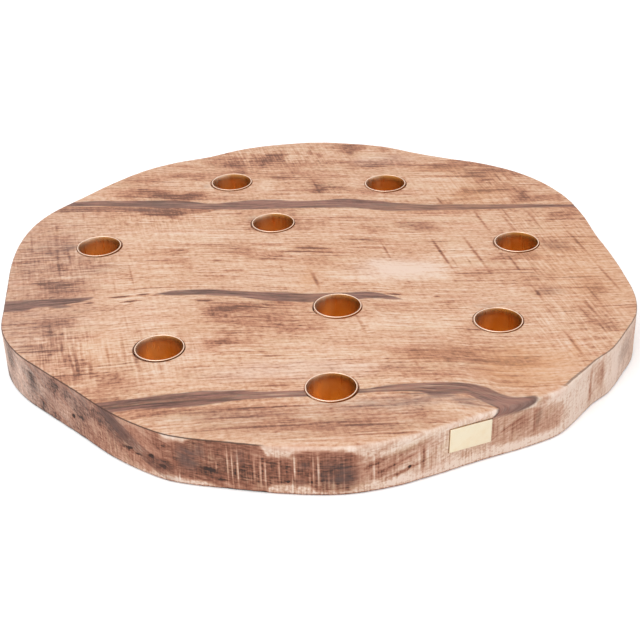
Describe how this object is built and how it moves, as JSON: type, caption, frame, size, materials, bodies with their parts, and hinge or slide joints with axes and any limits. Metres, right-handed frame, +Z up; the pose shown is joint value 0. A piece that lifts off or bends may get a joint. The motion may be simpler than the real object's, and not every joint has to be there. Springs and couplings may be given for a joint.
{
  "type": "wooden candle board",
  "caption": "Flat free-form slab of mango wood with copper-coloured candle cups let into its top, for taper candles, and a bare maker's plate in its rim.",
  "frame": {"origin": "on the underside, under the middle of the slab's outline", "axes": "+Z up, the way the candle cups open; -Y towards the front, where the maker's plate is; +X to the right seen from the front"},
  "size_m": [0.3222, 0.3322, 0.0258],
  "materials": {
    "mango_wood": "sawn and lightly sanded, unvarnished",
    "copper": "satin copper colour, rims polished",
    "satin_brass": "pale satin, blank"
  },
  "bodies": {
    "root": {"board": "mango_wood", "candle_cup_1": "copper", "candle_cup_2": "copper", "candle_cup_3": "copper", "candle_cup_4": "copper", "candle_cup_5": "copper", "candle_cup_6": "copper", "candle_cup_7": "copper", "candle_cup_8": "copper", "candle_cup_9": "copper", "maker_plate": "satin_brass"}
  },
  "joints": []
}
